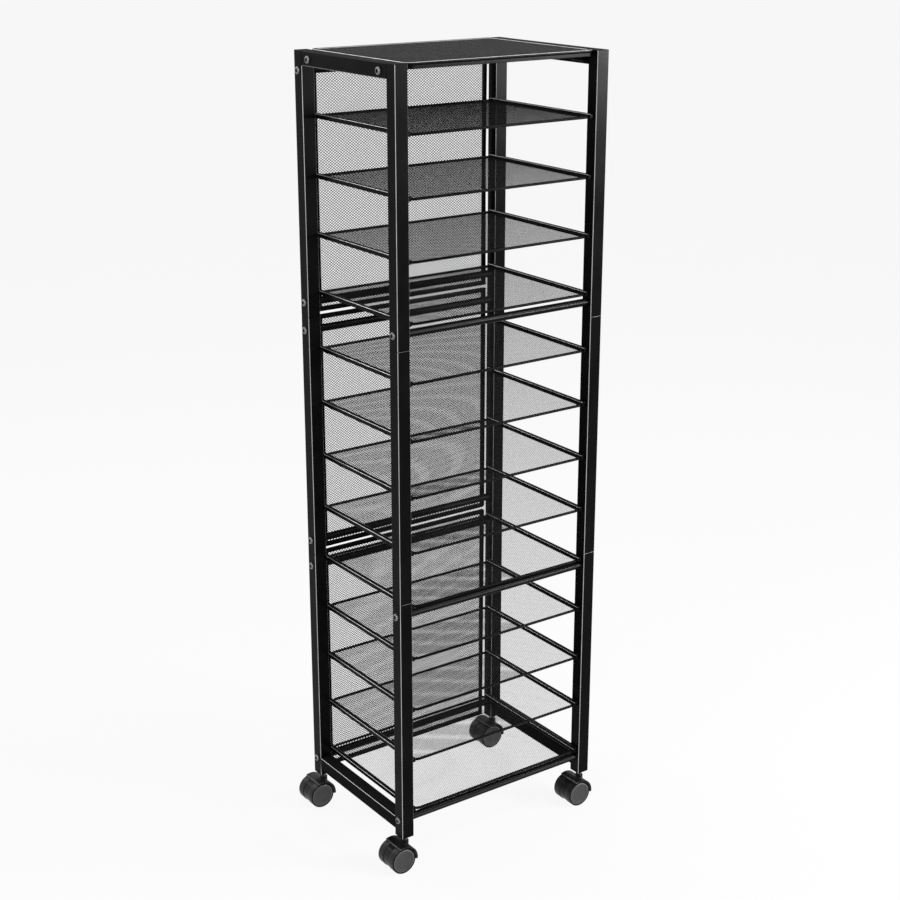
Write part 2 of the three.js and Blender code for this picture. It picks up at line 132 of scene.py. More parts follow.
# Casters
ROUND_SIDES = 40
WHEEL_SIDES = 72
HOOD_SIDES = 120
WHEEL_RADIUS = 20.0 * MM
WHEEL_WIDTH = 13.2 * MM
WHEEL_EASE = 1.0 * MM
WHEEL_DISC = 18.2 * MM
# The band inside the disc's edge that gets a painted highlight, and how far into the face it reaches
DISC_RIM = (0.1 * MM, 1.6 * MM)
DISC_RIM_DEPTH = 1.0 * MM

# A wheel's face, as insets and outward steps: the groove, in shares of its width, then the disc
GROOVE_STEPS = (0.4, 0.0), (0.2, -1.3 * MM), (0.4, 0.0)
DISC_STEPS = (
    (0.12 * MM, 0.35 * MM), (0.25 * MM, 0.35 * MM), (0.4 * MM, 0.3 * MM), (0.55 * MM, 0.2 * MM),
    (0.6 * MM, 0.1 * MM), (2.0 * MM, 0.0), (0.5 * MM, -0.15 * MM), (0.5 * MM, -0.35 * MM),
    (0.5 * MM, -0.1 * MM), (8.0 * MM, 0.0),
)

# Hoods and necks
HOOD_RADIUS = 22.4 * MM
HOOD_SHIFT = 1.8 * MM
HOOD_INNER = 20.8 * MM
HOOD_START = math.radians(-7.0)
HOOD_END = math.radians(108.0)
HOOD_WIDTH = 38.6 * MM
HOOD_EASE = 0.35 * MM
HOOD_OVERLAP = 0.6 * MM
# How far round from the hood's rear edge the painted highlight reaches
HOOD_EDGE_REACH = math.radians(2.0)
WEB_RADIUS = 19.2 * MM
WEB_WIDTH = 12.0 * MM
STEM_TRAIL = 13.8 * MM
BOSS_TOP = 21.9 * MM
BOSS_DROP = 2.0 * MM
NECK_RADIUS = 4.3 * MM
NECK_EASE = 0.4 * MM
NECK_OVERLAP = 2.0 * MM

# Colours: the darker and the paler shade of each finish, and the paler colours of painted highlights; the
# screw sockets' blacker grey is painted shade
COAT = (0.0022, 0.0022, 0.0024), (0.0036, 0.0036, 0.0038)
HIGHLIGHT_STEEL = (0.80, 0.80, 0.79)
MESH_COAT = (0.0030, 0.0030, 0.0032), (0.0052, 0.0052, 0.0054)
ZINC = (0.09, 0.09, 0.095), (0.15, 0.15, 0.155)
HOOD_NYLON = (0.0034, 0.0034, 0.0036), (0.0054, 0.0054, 0.0056)
# Pale painted highlight on the hood's rear edge
HIGHLIGHT_NYLON = (0.13, 0.13, 0.132)
SCREW_STEEL = 0.15, 0.23
# Blacker grey inside the screw sockets: painted shade
SCREW_SOCKET_SHADE = 0.035, 0.06
# How much paler the painted highlight on a wheel is
DISC_HIGHLIGHT_GAIN = 2.6

# Enamels: lowest and highest roughness, gloss, and the grey on upward faces, which is dust and, on the
# low rails, mostly a painted sheen
POST_ENAMEL = (0.23, 0.29), 0.031, 0.003
TUBE_ENAMEL = (0.15, 0.19), 0.03, 0.003
# The low rails' paler upward grey stands in for their lost gloss: a painted sheen
LOW_RAIL_ENAMEL = (0.23, 0.29), 0.01, 0.011

# Mesh enamels: gloss, and how much duller upward faces are
MESH_ENAMEL = 0.06, 0.25
SHELF_ENAMEL = 0.11, 0.0

# Wheel plastics: name, darker and paler grey, and gloss, for the tread, the disc and the rim, whose
# blacker grey is painted shade
WHEEL_PLASTICS = (
    ("wheel_tread_plastic", 0.0055, 0.0080, 0.25),
    ("wheel_disc_plastic", 0.035, 0.043, 0.28),
    ("wheel_rim_shade_plastic", 0.0020, 0.0032, 0.04),
)

# Lamps: name, place, the point it aims at, width and height, and power in watts
LAMPS = (
    ("key_lamp", (1.35, -1.35, 2.25), (0, 0, 0.6), (0.5, 0.5), 24),
    ("fill_lamp", (-1.4, -2.1, 2.2), (0, 0, 0.6), (0.5, 0.5), 13),
    ("front_lamp", (1.8, -1.9, 1.05), (0.1, -0.1, 1.0), (0.9, 0.36), 60),
    ("left_lamp", (-2.2, -0.5, 1.7), (0, 0, 0.6), (0.8, 1.6), 12),
    ("back_lamp", (-0.8, 1.8, 1.9), (0, 0, 0.6), (0.5, 1.8), 9),
    ("top_lamp", (0.2, 0.6, 3.0), (0, 0, 0.6), (1.4, 1.4), 12),
)
WORLD_LIGHT = 0.35

# Floor, nearly white to the rays named here
SEEING_RAYS = ("Is Camera Ray", "Is Glossy Ray", "Is Transmission Ray")
FLOOR_SIZE = 60.0
FLOOR_DROP = 0.0002
FLOOR_COLOUR = (0.72, 0.72, 0.72, 1)
FLOOR_ROUGHNESS = 0.9
FLOOR_GLOSS = 0.2
FLOOR_WHITE_SHARE = 0.9


class Signal:
    """A socket whose operators add Math nodes."""

    def __init__(self, nodes, socket):
        self.nodes = nodes
        self.socket = socket

    def math(self, operation, first, second):
        node = self.nodes.node("ShaderNodeMath", {"operation": operation}, {0: first, 1: second})
        return Signal(self.nodes, node.outputs[0])

    def __add__(self, other):
        return self.math("ADD", self, other)

    def __mul__(self, other):
        return self.math("MULTIPLY", self, other)

    __radd__ = __add__
    __rmul__ = __mul__


class Nodes:
    """A node tree, and the one way in which nodes are added to it."""

    def __init__(self, tree):
        self.tree = tree

    def node(self, kind, settings=None, inputs=None):
        node = self.tree.nodes.new(kind)
        for key, value in (settings or {}).items():
            setattr(node, key, value)
        for key, value in (inputs or {}).items():
            self.feed(node.inputs[key], value)
        return node

    def feed(self, socket, value):
        source = value.socket if isinstance(value, Signal) else value
        if isinstance(source, bpy.types.NodeSocket):
            self.tree.links.new(source, socket)
        else:
            socket.default_value = source

    def seen(self):
        """A number that is 1 on the rays by which a camera sees, straight or in a reflection."""
        path = self.node("ShaderNodeLightPath")
        total, *others = (Signal(self, path.outputs[ray]) for ray in SEEING_RAYS)
        for ray in others:
            total = total.math("MAXIMUM", total, ray)
        return total


class Finish(Nodes):
    """A node material, with its constants on the shader's own sockets."""

    def __init__(self, name, **constants):
        self.material = bpy.data.materials.new(name)
        self.material.use_nodes = True
        super().__init__(self.material.node_tree)
        self.shader = self.tree.nodes["Principled BSDF"]
        for socket, value in constants.items():
            self.shader.inputs[socket.replace("_", " ")].default_value = value
        coordinates = self.node("ShaderNodeTexCoord")
        self.place = coordinates.outputs["Object"]
        self.normal = coordinates.outputs["Normal"]

    def noise(self, size, detail=2.0, stretch=(1, 1, 1)):
        """Noise whose grains are about the given size in metres."""
        mapping = self.node("ShaderNodeMapping", {}, {"Vector": self.place, "Scale": stretch})
        sockets = {"Vector": mapping.outputs[0], "Scale": 1.0 / size, "Detail": detail}
        return Signal(self, self.node("ShaderNodeTexNoise", {}, sockets).outputs[0])

    def spread(self, signal, low, high, from_low=0.35, from_high=0.65):
        """Maps the middle of a noise to a range of values."""
        sockets = {0: signal, 1: from_low, 2: from_high, 3: low, 4: high}
        return Signal(self, self.node("ShaderNodeMapRange", {}, sockets).outputs[0])

    def blend(self, factor, first, second):
        """Mixes two colours, each a triple or another colour's socket."""
        first, second = (colour if isinstance(colour, bpy.types.NodeSocket) else (*colour, 1.0)
                         for colour in (first, second))
        sockets = {0: factor, 6: first, 7: second}
        return self.node("ShaderNodeMix", {"data_type": "RGBA"}, sockets).outputs[2]

    def attribute(self, name):
        return Signal(self, self.node("ShaderNodeAttribute", {"attribute_name": name}).outputs["Fac"])

    def upward(self):
        """A number that is 1 on faces that look up, where dust settles, hands dull the gloss and a
        painted sheen goes.
        """
        parts = self.node("ShaderNodeSeparateXYZ", {}, {0: self.normal})
        return self.spread(parts.outputs[2], 0, 1, 0.75, 0.97)

    def colour(self, socket):
        self.feed(self.shader.inputs["Base Color"], socket)

    def roughness(self, signal):
        self.feed(self.shader.inputs["Roughness"], signal)

    def bump(self, signal, depth, strength=1.0):
        sockets = {"Height": signal, "Distance": depth, "Strength": strength}
        node = self.node("ShaderNodeBump", {}, sockets)
        self.feed(self.shader.inputs["Normal"], node.outputs[0])


def enamel(name, roughness, gloss, dust_and_sheen):
    """Black powder coat with orange peel, smears and a paler grey on upward faces that is dust and, on
    the low rails, mostly a painted sheen; marked edges carry a painted highlight of bright steel.
    """
    finish = Finish(name, Specular_IOR_Level=gloss)
    smear = finish.noise(60 * MM, 3.0)
    peel = finish.noise(1.6 * MM, 2.0)
    fleck = finish.noise(0.35 * MM, 1.0)
    patchy = finish.spread(finish.noise(14 * MM, 3.0, (1, 1, 0.4)), 0.78, 1.0)
    # Painted highlight: marked edges turn to bright metallic steel, patchy along their length
    painted_highlight = finish.attribute(HIGHLIGHT_MARK) * patchy
    coat = finish.blend(finish.spread(smear, 0, 1), *COAT)
    # Upward faces paler: dust, and on the low rails mostly a painted sheen
    dust_and_sheen_coat = finish.blend(finish.upward(), coat, (dust_and_sheen,) * 3)
    finish.colour(finish.blend(painted_highlight, dust_and_sheen_coat, HIGHLIGHT_STEEL))
    finish.feed(finish.shader.inputs["Metallic"], painted_highlight)
    uneven = finish.spread(smear, *roughness) + finish.spread(fleck, -0.02, 0.02)
    finish.roughness(uneven + finish.upward() * 0.4)
    finish.bump(peel * 0.8 + fleck * 0.2, 0.05 * MM, 0.5)
    return finish.material


def mesh_enamel(name, gloss, dulled):
    """The thinner, duller coat on the expanded mesh."""
    finish = Finish(name, Specular_IOR_Level=gloss)
    patch = finish.noise(25 * MM, 2.0)
    grain = finish.noise(0.5 * MM, 1.0)
    finish.colour(finish.blend(finish.spread(patch, 0, 1), *MESH_COAT))
    finish.roughness(finish.spread(grain, 0.32, 0.44) + finish.upward() * dulled)
    finish.bump(grain, 0.03 * MM, 0.4)
    return finish.material


def screw_steel(name, dark, pale):
    """Dark plated steel of the button heads or, blacker as painted shade, of the insides of their
    sockets.
    """
    finish = Finish(name, Metallic=0.85)
    stain = finish.noise(2.5 * MM, 3.0)
    tool = finish.noise(0.25 * MM, 1.0)
    finish.colour(finish.blend(finish.spread(stain, 0, 1), (dark,) * 3, (pale,) * 3))
    finish.roughness(finish.spread(stain, 0.26, 0.38))
    finish.bump(tool, 0.02 * MM, 0.4)
    return finish.material


def zinc_steel():
    """Plated steel of the casters' necks and axle pins."""
    finish = Finish("zinc_steel", Metallic=0.9)
    stain = finish.noise(4 * MM, 3.0)
    finish.colour(finish.blend(finish.spread(stain, 0, 1), *ZINC))
    finish.roughness(finish.spread(stain, 0.32, 0.45))
    finish.bump(finish.noise(0.3 * MM, 1.0), 0.02 * MM, 0.4)
    return finish.material


def hood_plastic():
    """Moulded black nylon with a fine spark texture, and a pale painted highlight along its rear edge."""
    finish = Finish("hood_plastic", Specular_IOR_Level=0.2)
    cloud = finish.noise(9 * MM, 2.0)
    spark = finish.noise(0.4 * MM, 2.0)
    body = finish.blend(finish.spread(cloud, 0, 1), *HOOD_NYLON)
    finish.colour(finish.blend(finish.attribute(HIGHLIGHT_MARK), body, HIGHLIGHT_NYLON))
    finish.roughness(finish.spread(spark, 0.28, 0.38))
    finish.bump(spark, 0.03 * MM, 0.5)
    return finish.material


def wheel_plastic(name, dark, pale, gloss):
    """Moulded nylon of a wheel's tread, disc or rim, with a paler painted highlight where it is marked.
    """
    finish = Finish(name, Specular_IOR_Level=gloss)
    cloud = finish.noise(7 * MM, 3.0)
    spark = finish.noise(0.45 * MM, 2.0)
    body = finish.blend(finish.spread(cloud, 0, 1), (dark,) * 3, (pale,) * 3)
    finish.colour(finish.blend(finish.attribute(HIGHLIGHT_MARK), body, (pale * DISC_HIGHLIGHT_GAIN,) * 3))
    finish.roughness(finish.spread(spark, 0.34, 0.44))
    finish.bump(spark, 0.03 * MM, 0.5)
    return finish.material


def deselect():
    bpy.ops.object.select_all(action="DESELECT")


def take(piece):
    deselect()
    piece.select_set(True)
    bpy.context.view_layer.objects.active = piece


def middle_of(node):
    """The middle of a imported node's box."""
    low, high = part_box(node)
    return (low + high) / 2


def named(name):
    """Names the newest piece and puts its place, turn and size into its mesh."""
    piece = bpy.context.object
    piece.name = name
    piece.data.name = name
    bpy.ops.object.transform_apply(location=True, rotation=True, scale=True)
    return piece


def block(name, low, high):
    deselect()
    centre = (Vector(low) + Vector(high)) / 2
    bpy.ops.mesh.primitive_cube_add(size=1, location=centre, scale=Vector(high) - Vector(low))
    return named(name)


def rod(name, start, end, radius, sides=32):
    """A cylinder between two points."""
    deselect()
    axis = Vector(end) - Vector(start)
    turn = axis.to_track_quat("Z", "Y").to_euler()
    middle = (Vector(start) + Vector(end)) / 2
    bpy.ops.mesh.primitive_cylinder_add(
        vertices=sides, radius=radius, depth=axis.length, location=middle, rotation=turn
    )
    return named(name)


def edit(piece, kind, test):
    """Opens edit mode with only the points, edges or faces that pass the test selected."""
    take(piece)
    bpy.ops.object.mode_set(mode="EDIT")
    bpy.ops.mesh.select_mode(type=kind)
    bpy.ops.mesh.select_all(action="DESELECT")
    bpy.ops.object.mode_set(mode="OBJECT")
    mesh = piece.data
    items = {"VERT": mesh.vertices, "EDGE": mesh.edges, "FACE": mesh.polygons}[kind]
    for item in items:
        item.select = test(item)
    bpy.ops.object.mode_set(mode="EDIT")


def done():
    bpy.ops.object.mode_set(mode="OBJECT")


def edge_runs_along(piece, axis):
    """A test for edges that run along one axis."""
    points = piece.data.vertices

    def test(edge):
        step = points[edge.vertices[0]].co - points[edge.vertices[1]].co
        return abs(step[axis]) > ALONG * step.length

    return test


def faces_towards(direction):
    return lambda face: face.normal.dot(Vector(direction)) > ALONG


def bevel_edges(piece, test, width, steps):
    edit(piece, "EDGE", test)
    bpy.ops.mesh.bevel(offset=width, segments=steps, affect="EDGES")
    done()


def modify(piece, kind, **settings):
    """Adds a modifier and applies it."""
    take(piece)
    modifier = piece.modifiers.new(kind.lower(), kind)
    for key, value in settings.items():
        setattr(modifier, key, value)
    bpy.ops.object.modifier_apply(modifier=modifier.name)


def smooth(piece, degrees=35.0):
    take(piece)
    bpy.ops.object.shade_smooth_by_angle(angle=math.radians(degrees))


def even_normals(piece):
    """Keeps the flats flat beside their eased edges."""
    smooth(piece, 50.0)
    modify(piece, "WEIGHTED_NORMAL", keep_sharp=True)


def mark_points(piece, highlight_strength):
    """Writes each point's painted highlight strength, from 0 to 1."""
    mark = piece.data.attributes.new(HIGHLIGHT_MARK, "FLOAT", "POINT")
    for index, point in enumerate(piece.data.vertices):
        mark.data[index].value = highlight_strength(point)


def mark_edges(piece, axes, highlight_strength, width=0.65):
    """Marks the middle of the eased edges between two axes with a painted highlight, by a point's
    strength from 0 to 1.
    """
    first, second = axes

    def edge_highlight(point):
        lean = abs(abs(point.normal[first]) - abs(point.normal[second]))
        reach = math.hypot(point.normal[first], point.normal[second])
        return max(0.0, 1.0 - lean / width) * highlight_strength(point) if reach > 0.8 else 0.0

    mark_points(piece, edge_highlight)


def paint(piece, material):
    piece.data.materials.clear()
    piece.data.materials.append(material)
    return piece


def joined(name, pieces):
    deselect()
    for piece in pieces:
        piece.select_set(True)
    bpy.context.view_layer.objects.active = pieces[0]
    bpy.ops.object.join()
    piece = bpy.context.object
    piece.name = name
    piece.data.name = name
    return piece


def copy_of(piece, name, shift):
    twin = piece.copy()
    twin.data = piece.data.copy()
    twin.name = name
    twin.data.name = name
    twin.data.transform(Matrix.Translation(shift))
    bpy.context.scene.collection.objects.link(twin)
    return twin


def remove(piece):
    bpy.data.objects.remove(piece)


def install(piece, body, slot, *nodes):
    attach(piece, body)
    if nodes:
        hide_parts(*nodes)


def ring_cut(piece, axis, places):
    """Cuts rings round a piece at places along one axis."""
    direction = [float(other == axis) for other in range(3)]
    for place in places:
        edit(piece, "FACE", lambda face: True)
        bpy.ops.mesh.bisect(plane_co=[part * place for part in direction], plane_no=direction)
        done()


def square_bar(name, low, high, axis, painted_highlight, rings=()):
    """A length of square tube along one axis, with its round corners, eased ends and painted highlights
    on its edges.
    """
    piece = block(name, low, high)
    bevel_edges(piece, edge_runs_along(piece, axis), TUBE_CORNER, TUBE_CORNER_STEPS)
    points = piece.data.vertices
    ends = (low[axis], high[axis])

    def on_an_end(edge):
        places = [points[index].co[axis] for index in edge.vertices]
        return any(all(abs(place - end) < TINY for place in places) for end in ends)

    bevel_edges(piece, on_an_end, TUBE_END_EASE, 2)
    ring_cut(piece, axis, rings)
    mark_edges(piece, [other for other in range(3) if other != axis], painted_highlight)
    even_normals(piece)
    return piece


def section_span(section):
    """The heights at which a section's posts start and end to the eye."""
    low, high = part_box(f"post_back_left_{section}")
    index = SECTIONS.index(section) + 1
    if index < len(SECTIONS):
        above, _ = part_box(f"post_back_left_{SECTIONS[index]}")
        return low.z, above.z - SECTION_GAP
    return low.z, high.z


def mark_joint(piece, top, highlight_strength):
    """Marks the front edge of a post's upper end, where the next length sits on it, with a painted
    highlight.
    """
    mark = piece.data.attributes[HIGHLIGHT_MARK]
    for index, point in enumerate(piece.data.vertices):
        if point.co.z > top - TUBE_END_EASE * 0.9 and point.normal.y < -0.3:
            mark.data[index].value = max(mark.data[index].value, highlight_strength)


def make_posts(coat):
    """Each edge gets a painted highlight, weaker on corners that face +X, but not where a side rail is
    welded against it.
    """
    for section in SECTIONS:
        foot, top = section_span(section)
        rings = []
        if section != "middle":
            weld_low, weld_high = (corner.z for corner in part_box(f"side_rail_left_{section}"))
            rings = [weld_high, weld_high + WELD_FADE]
            if section == "top":
                rings = [weld_low - WELD_FADE, weld_low]
        for end in ENDS:
            inward = 1 if end == "front" else -1

            # Painted highlight strength: full on corners that face -X, weaker on those that face +X
            def highlight_strength(point):
                beside = rings and weld_low - TINY < point.co.z < weld_high + TINY
                if beside and point.normal.y * inward > 0:
                    return 0.0
                return 1.0 if point.normal.x < 0 else RIGHT_HIGHLIGHT

            for side in SIDES:
                node = f"post_{end}_{side}_{section}"
                low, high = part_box(node)
                span = (low.x, low.y, foot), (high.x, high.y, top)
                piece = square_bar(f"{node}_tube", *span, 2, highlight_strength, rings)
                if section != "top" and end == "front":
                    mark_joint(piece, top, JOINT_HIGHLIGHT[side])
                install(paint(piece, coat), FRAME_BODY, "frame_enamel", node)


def make_side_rails(low_coat, top_coat):
    for side in SIDES:
        for height in ("bottom", "top"):
            node = f"side_rail_{side}_{height}"
            low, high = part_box(node)
            outer = -1 if side == "left" else 1
            rise = 1 if height == "bottom" else -1
            # Painted highlight on the outer edge: the upper one on bottom rails, the lower one on top
            # rails
            piece = square_bar(f"{node}_tube", low, high, 1,
                               lambda point: point.normal.x * outer > 0 and point.normal.z * rise > 0)
            coat = low_coat if height == "bottom" else top_coat
            install(paint(piece, coat), FRAME_BODY, "frame_enamel", node)


def make_front_rails(coat):
    """Round tubes, with a faint painted highlight along a line a little above their front."""
    for place in FRONT_RAILS:
        node = f"front_rail_{place}"
        low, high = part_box(node)
        middle = (low + high) / 2
        start = (low.x, middle.y, middle.z)
        piece = rod(f"{node}_tube", start, (high.x, middle.y, middle.z), RAIL_RADIUS, RAIL_SIDES)
        smooth(piece)

        # Painted highlight along a line a little above the tube's front
        def line_highlight(point):
            turn = math.atan2(point.co.z - middle.z, middle.y - point.co.y)
            return RAIL_HIGHLIGHT * max(0.0, 1.0 - abs(turn - RAIL_HIGHLIGHT_ANGLE) / RAIL_HIGHLIGHT_REACH)

        mark_points(piece, line_highlight)
        install(paint(piece, coat), FRAME_BODY, "frame_enamel", node)


def cut_away(piece, point, normal):
    """Cuts off what lies beyond a plane, on the side that its normal points to."""
    edit(piece, "FACE", lambda face: True)
    bpy.ops.mesh.bisect(plane_co=point, plane_no=normal, use_fill=True, clear_outer=True)
    done()


def strand_family(name, centre, reach, strand, slant, lift):
    """One direction of the mesh: a strand, repeated side by side across the reach."""
    angle = slant * math.atan2(DIAMOND_HEIGHT, DIAMOND_WIDTH)
    spacing = DIAMOND_WIDTH * math.sin(abs(angle))
    count = 2 * math.ceil(reach / spacing) + 1
    width, thickness = strand
    deselect()
    bpy.ops.mesh.primitive_cube_add(size=1, scale=(2 * reach, width, thickness))
    piece = named(name)
    offset = (0, spacing, 0)
    modify(piece, "ARRAY", count=count, use_relative_offset=False, use_constant_offset=True,
           constant_offset_displace=offset)
    first = Matrix.Translation((0, -spacing * (count // 2), 0))
    turn = Matrix.Rotation(angle, 4, "Z")
    piece.data.transform(Matrix.Translation((centre[0], centre[1], lift)) @ turn @ first)
    return piece


def diamond_mesh(name, low, high, strand, corner):
    """A flat field of expanded mesh over a rectangle of the XY plane, with its corners cut."""
    centre = ((low[0] + high[0]) / 2, (low[1] + high[1]) / 2)
    half = ((high[0] - low[0]) / 2, (high[1] - low[1]) / 2)
    reach = math.hypot(*half)
    families = [
        strand_family(f"{name}_rising", centre, reach, strand, 1, STRAND_STAGGER),
        strand_family(f"{name}_falling", centre, reach, strand, -1, -STRAND_STAGGER),
    ]
    piece = joined(name, families)
    for x, y in ((1, 0), (-1, 0), (0, 1), (0, -1)):
        cut_away(piece, (centre[0] + x * half[0], centre[1] + y * half[1], 0), (x, y, 0))
    if corner > 0:
        for x in (1, -1):
            for y in (1, -1):
                point = (centre[0] + x * (half[0] - corner), centre[1] + y * half[1], 0)
                cut_away(piece, point, (x, y, 0))
    return piece


def rounded_plane(name, low, high, corner, z, steps=6):
    """A flat face with round corners."""
    deselect()
    centre = ((low[0] + high[0]) / 2, (low[1] + high[1]) / 2, z)
    bpy.ops.mesh.primitive_plane_add(size=1, location=centre)
    piece = bpy.context.object
    piece.scale = (high[0] - low[0], high[1] - low[1], 1)
    piece = named(name)
    edit(piece, "VERT", lambda point: True)
    bpy.ops.mesh.bevel(offset=corner, segments=steps, affect="VERTICES", offset_type="OFFSET")
    done()
    return piece


def wire_loop(name, low, high, corner, z, radius):
    """A round wire bent to a loop with round corners."""
    piece = rounded_plane(name, low, high, corner, z)
    edit(piece, "FACE", lambda face: True)
    bpy.ops.mesh.delete(type="ONLY_FACE")
    done()
    take(piece)
    bpy.ops.object.convert(target="CURVE")
    curve = bpy.context.object
    curve.data.bevel_depth = radius
    curve.data.bevel_resolution = 4
    bpy.ops.object.convert(target="MESH")
    piece = bpy.context.object
    edit(piece, "FACE", lambda face: True)
    bpy.ops.mesh.remove_doubles(threshold=TINY)
    bpy.ops.mesh.normals_make_consistent(inside=False)
    done()
    smooth(piece, 60.0)
    return piece


def make_trays(coat, mesh_coat):
    """One tray is modelled at the lowest place and copied up the cart."""
    low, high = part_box(TRAYS[0])
    bars = []
    front = low.y + TRAY_BAR_SETBACK
    for start in (low.x, high.x - TRAY_BAR_WIDTH):
        bar = block("tray_bar", (start, front, low.z), (start + TRAY_BAR_WIDTH, high.y, high.z))
        bevel_edges(bar, lambda edge: True, TRAY_BAR_EASE, 4)
        # Painted highlight along both top edges of each bar
        mark_edges(bar, (0, 2), lambda point: point.normal.z > 0, TRAY_BAR_HIGHLIGHT_WIDTH)
        even_normals(bar)
        bars.append(paint(bar, coat))
    inset = TRAY_WIRE_INSET + TRAY_WIRE_RADIUS
    wire_low = (low.x + inset, low.y + TRAY_WIRE_RADIUS)
    wire_high = (high.x - inset, high.y - TRAY_WIRE_RADIUS)
    wire_z = high.z - TRAY_WIRE_DROP
    wire = wire_loop("tray_wire", wire_low, wire_high, TRAY_CORNER, wire_z, TRAY_WIRE_RADIUS)
    paint(wire, coat)
    net = diamond_mesh("tray_net", wire_low, wire_high, TRAY_STRAND, TRAY_CORNER * NET_CORNER_SHARE)
    net.data.transform(Matrix.Translation((0, 0, wire_z)))
    paint(net, mesh_coat)
    pattern = joined("tray_pattern", [*bars, wire, net])
    for node in TRAYS:
        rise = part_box(node)[0].z - low.z
        install(copy_of(pattern, f"{node}_mesh", (0, 0, rise)), FRAME_BODY, "mesh_enamel", node)
    remove(pattern)


def lip_ring(name, low, high, inset, top, height, ease):
    """A ring of the shelf's lip with round corners, its top at the given height."""
    start, end = (low.x + inset, low.y + inset), (high.x - inset, high.y - inset)
    ring = rounded_plane(name, start, end, LIP_CORNER - inset, top)
    edit(ring, "FACE", lambda face: True)
    bpy.ops.mesh.inset(thickness=LIP_WIDTH - inset)
    bpy.ops.mesh.delete(type="FACE")
    done()
    modify(ring, "SOLIDIFY", thickness=height, offset=-1.0)
    modify(ring, "BEVEL", width=ease, segments=4, limit_method="ANGLE")
    return ring


def mark_rim(ring, top):
    """Marks the upper edges of the shelf's lip with a painted highlight."""

    def rim_highlight(point):
        across = math.hypot(point.normal.x, point.normal.y)
        near = max(0.0, 1.0 - abs(across - point.normal.z) / LIP_HIGHLIGHT_WIDTH)
        return near if point.co.z > top - LIP_BEAD / 2 else 0.0

    mark_points(ring, rim_highlight)


def make_top_shelf(coat, mesh_coat):
    low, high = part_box("top_shelf")
    bead = lip_ring("shelf_bead", low, high, 0.0, high.z, LIP_BEAD, LIP_EASE)
    mark_rim(bead, high.z)
    even_normals(bead)
    band_top = high.z - LIP_BEAD
    band = lip_ring("shelf_band", low, high, LIP_STEP, band_top, LIP_HEIGHT - LIP_BEAD, BAND_EASE)
    even_normals(band)
    net_low = (low.x + LIP_WIDTH / 2, low.y + LIP_WIDTH / 2)
    net_high = (high.x - LIP_WIDTH / 2, high.y - LIP_WIDTH / 2)
    net = diamond_mesh("shelf_net", net_low, net_high, SHELF_STRAND, LIP_CORNER * NET_CORNER_SHARE)
    net.data.transform(Matrix.Translation((0, 0, high.z - SHELF_MESH_DROP)))
    paint(net, mesh_coat)
    lugs = []
    for screw in ("front", "back"):
        y = middle_of(f"shelf_screw_{screw}_left").y
        for x in (low.x, high.x - LIP_WIDTH):
            lug_low = (x, y - LUG_REACH, low.z)
            lug = block("shelf_lug", lug_low, (x + LIP_WIDTH, y + LUG_REACH, high.z - LIP_EASE))
            bevel_edges(lug, lambda edge: True, TRAY_BAR_EASE, 2)
            smooth(lug)
            lugs.append(paint(lug, coat))
    shelf = joined("top_shelf_mesh", [paint(bead, coat), paint(band, coat), net, *lugs])
    install(shelf, FRAME_BODY, "mesh_enamel", "top_shelf")


def panel_rail_heights(section):
    """The heights of the two round tubes of a section's back panel."""
    foot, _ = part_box(f"post_back_left_{section}")
    _, top = section_span(section)
    if section != "top":
        top += SECTION_GAP
    lower = RAIL_END_INSET if section == "bottom" else RAIL_JOINT_INSET
    upper = RAIL_END_INSET if section == "top" else RAIL_JOINT_INSET
    return foot.z + lower, top - upper


def make_back_panels(coat, tube_coat, mesh_coat):
    for section in SECTIONS:
        node = f"back_panel_{section}"
        low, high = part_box(node)
        edge_low, edge_high = low.x + PANEL_SIDE_GAP, high.x - PANEL_SIDE_GAP
        plate = rounded_plane("panel_plate", (edge_low, low.z), (edge_high, high.z), PANEL_CORNER, 0.0, 2)
        edit(plate, "FACE", lambda face: True)
        bpy.ops.mesh.inset(thickness=PANEL_BAR)
        bpy.ops.mesh.delete(type="FACE")
        done()
        modify(plate, "SOLIDIFY", thickness=PANEL_THICKNESS, offset=0.0)
        modify(plate, "BEVEL", width=PANEL_EASE, segments=2, limit_method="ANGLE")
        smooth(plate)
        paint(plate, coat)
        net_low = (edge_low + PANEL_BAR / 2, low.z + PANEL_BAR / 2)
        net_high = (edge_high - PANEL_BAR / 2, high.z - PANEL_BAR / 2)
        net = diamond_mesh("panel_net", net_low, net_high, PANEL_STRAND, 0)
        paint(net, mesh_coat)
        stand_up = Matrix.Rotation(math.pi / 2, 4, "X")
        back = Matrix.Translation((0, high.y - PANEL_THICKNESS / 2, 0))
        for flat in (plate, net):
            flat.data.transform(back @ stand_up)
        tubes = []
        for z in panel_rail_heights(section):
            y = low.y + RAIL_RADIUS
            tube = rod("panel_tube", (low.x, y, z), (high.x, y, z), RAIL_RADIUS, RAIL_SIDES)
            smooth(tube)
            tubes.append(paint(tube, tube_coat))
        install(joined(f"{node}_mesh", [plate, net, *tubes]), FRAME_BODY, "mesh_enamel", node)


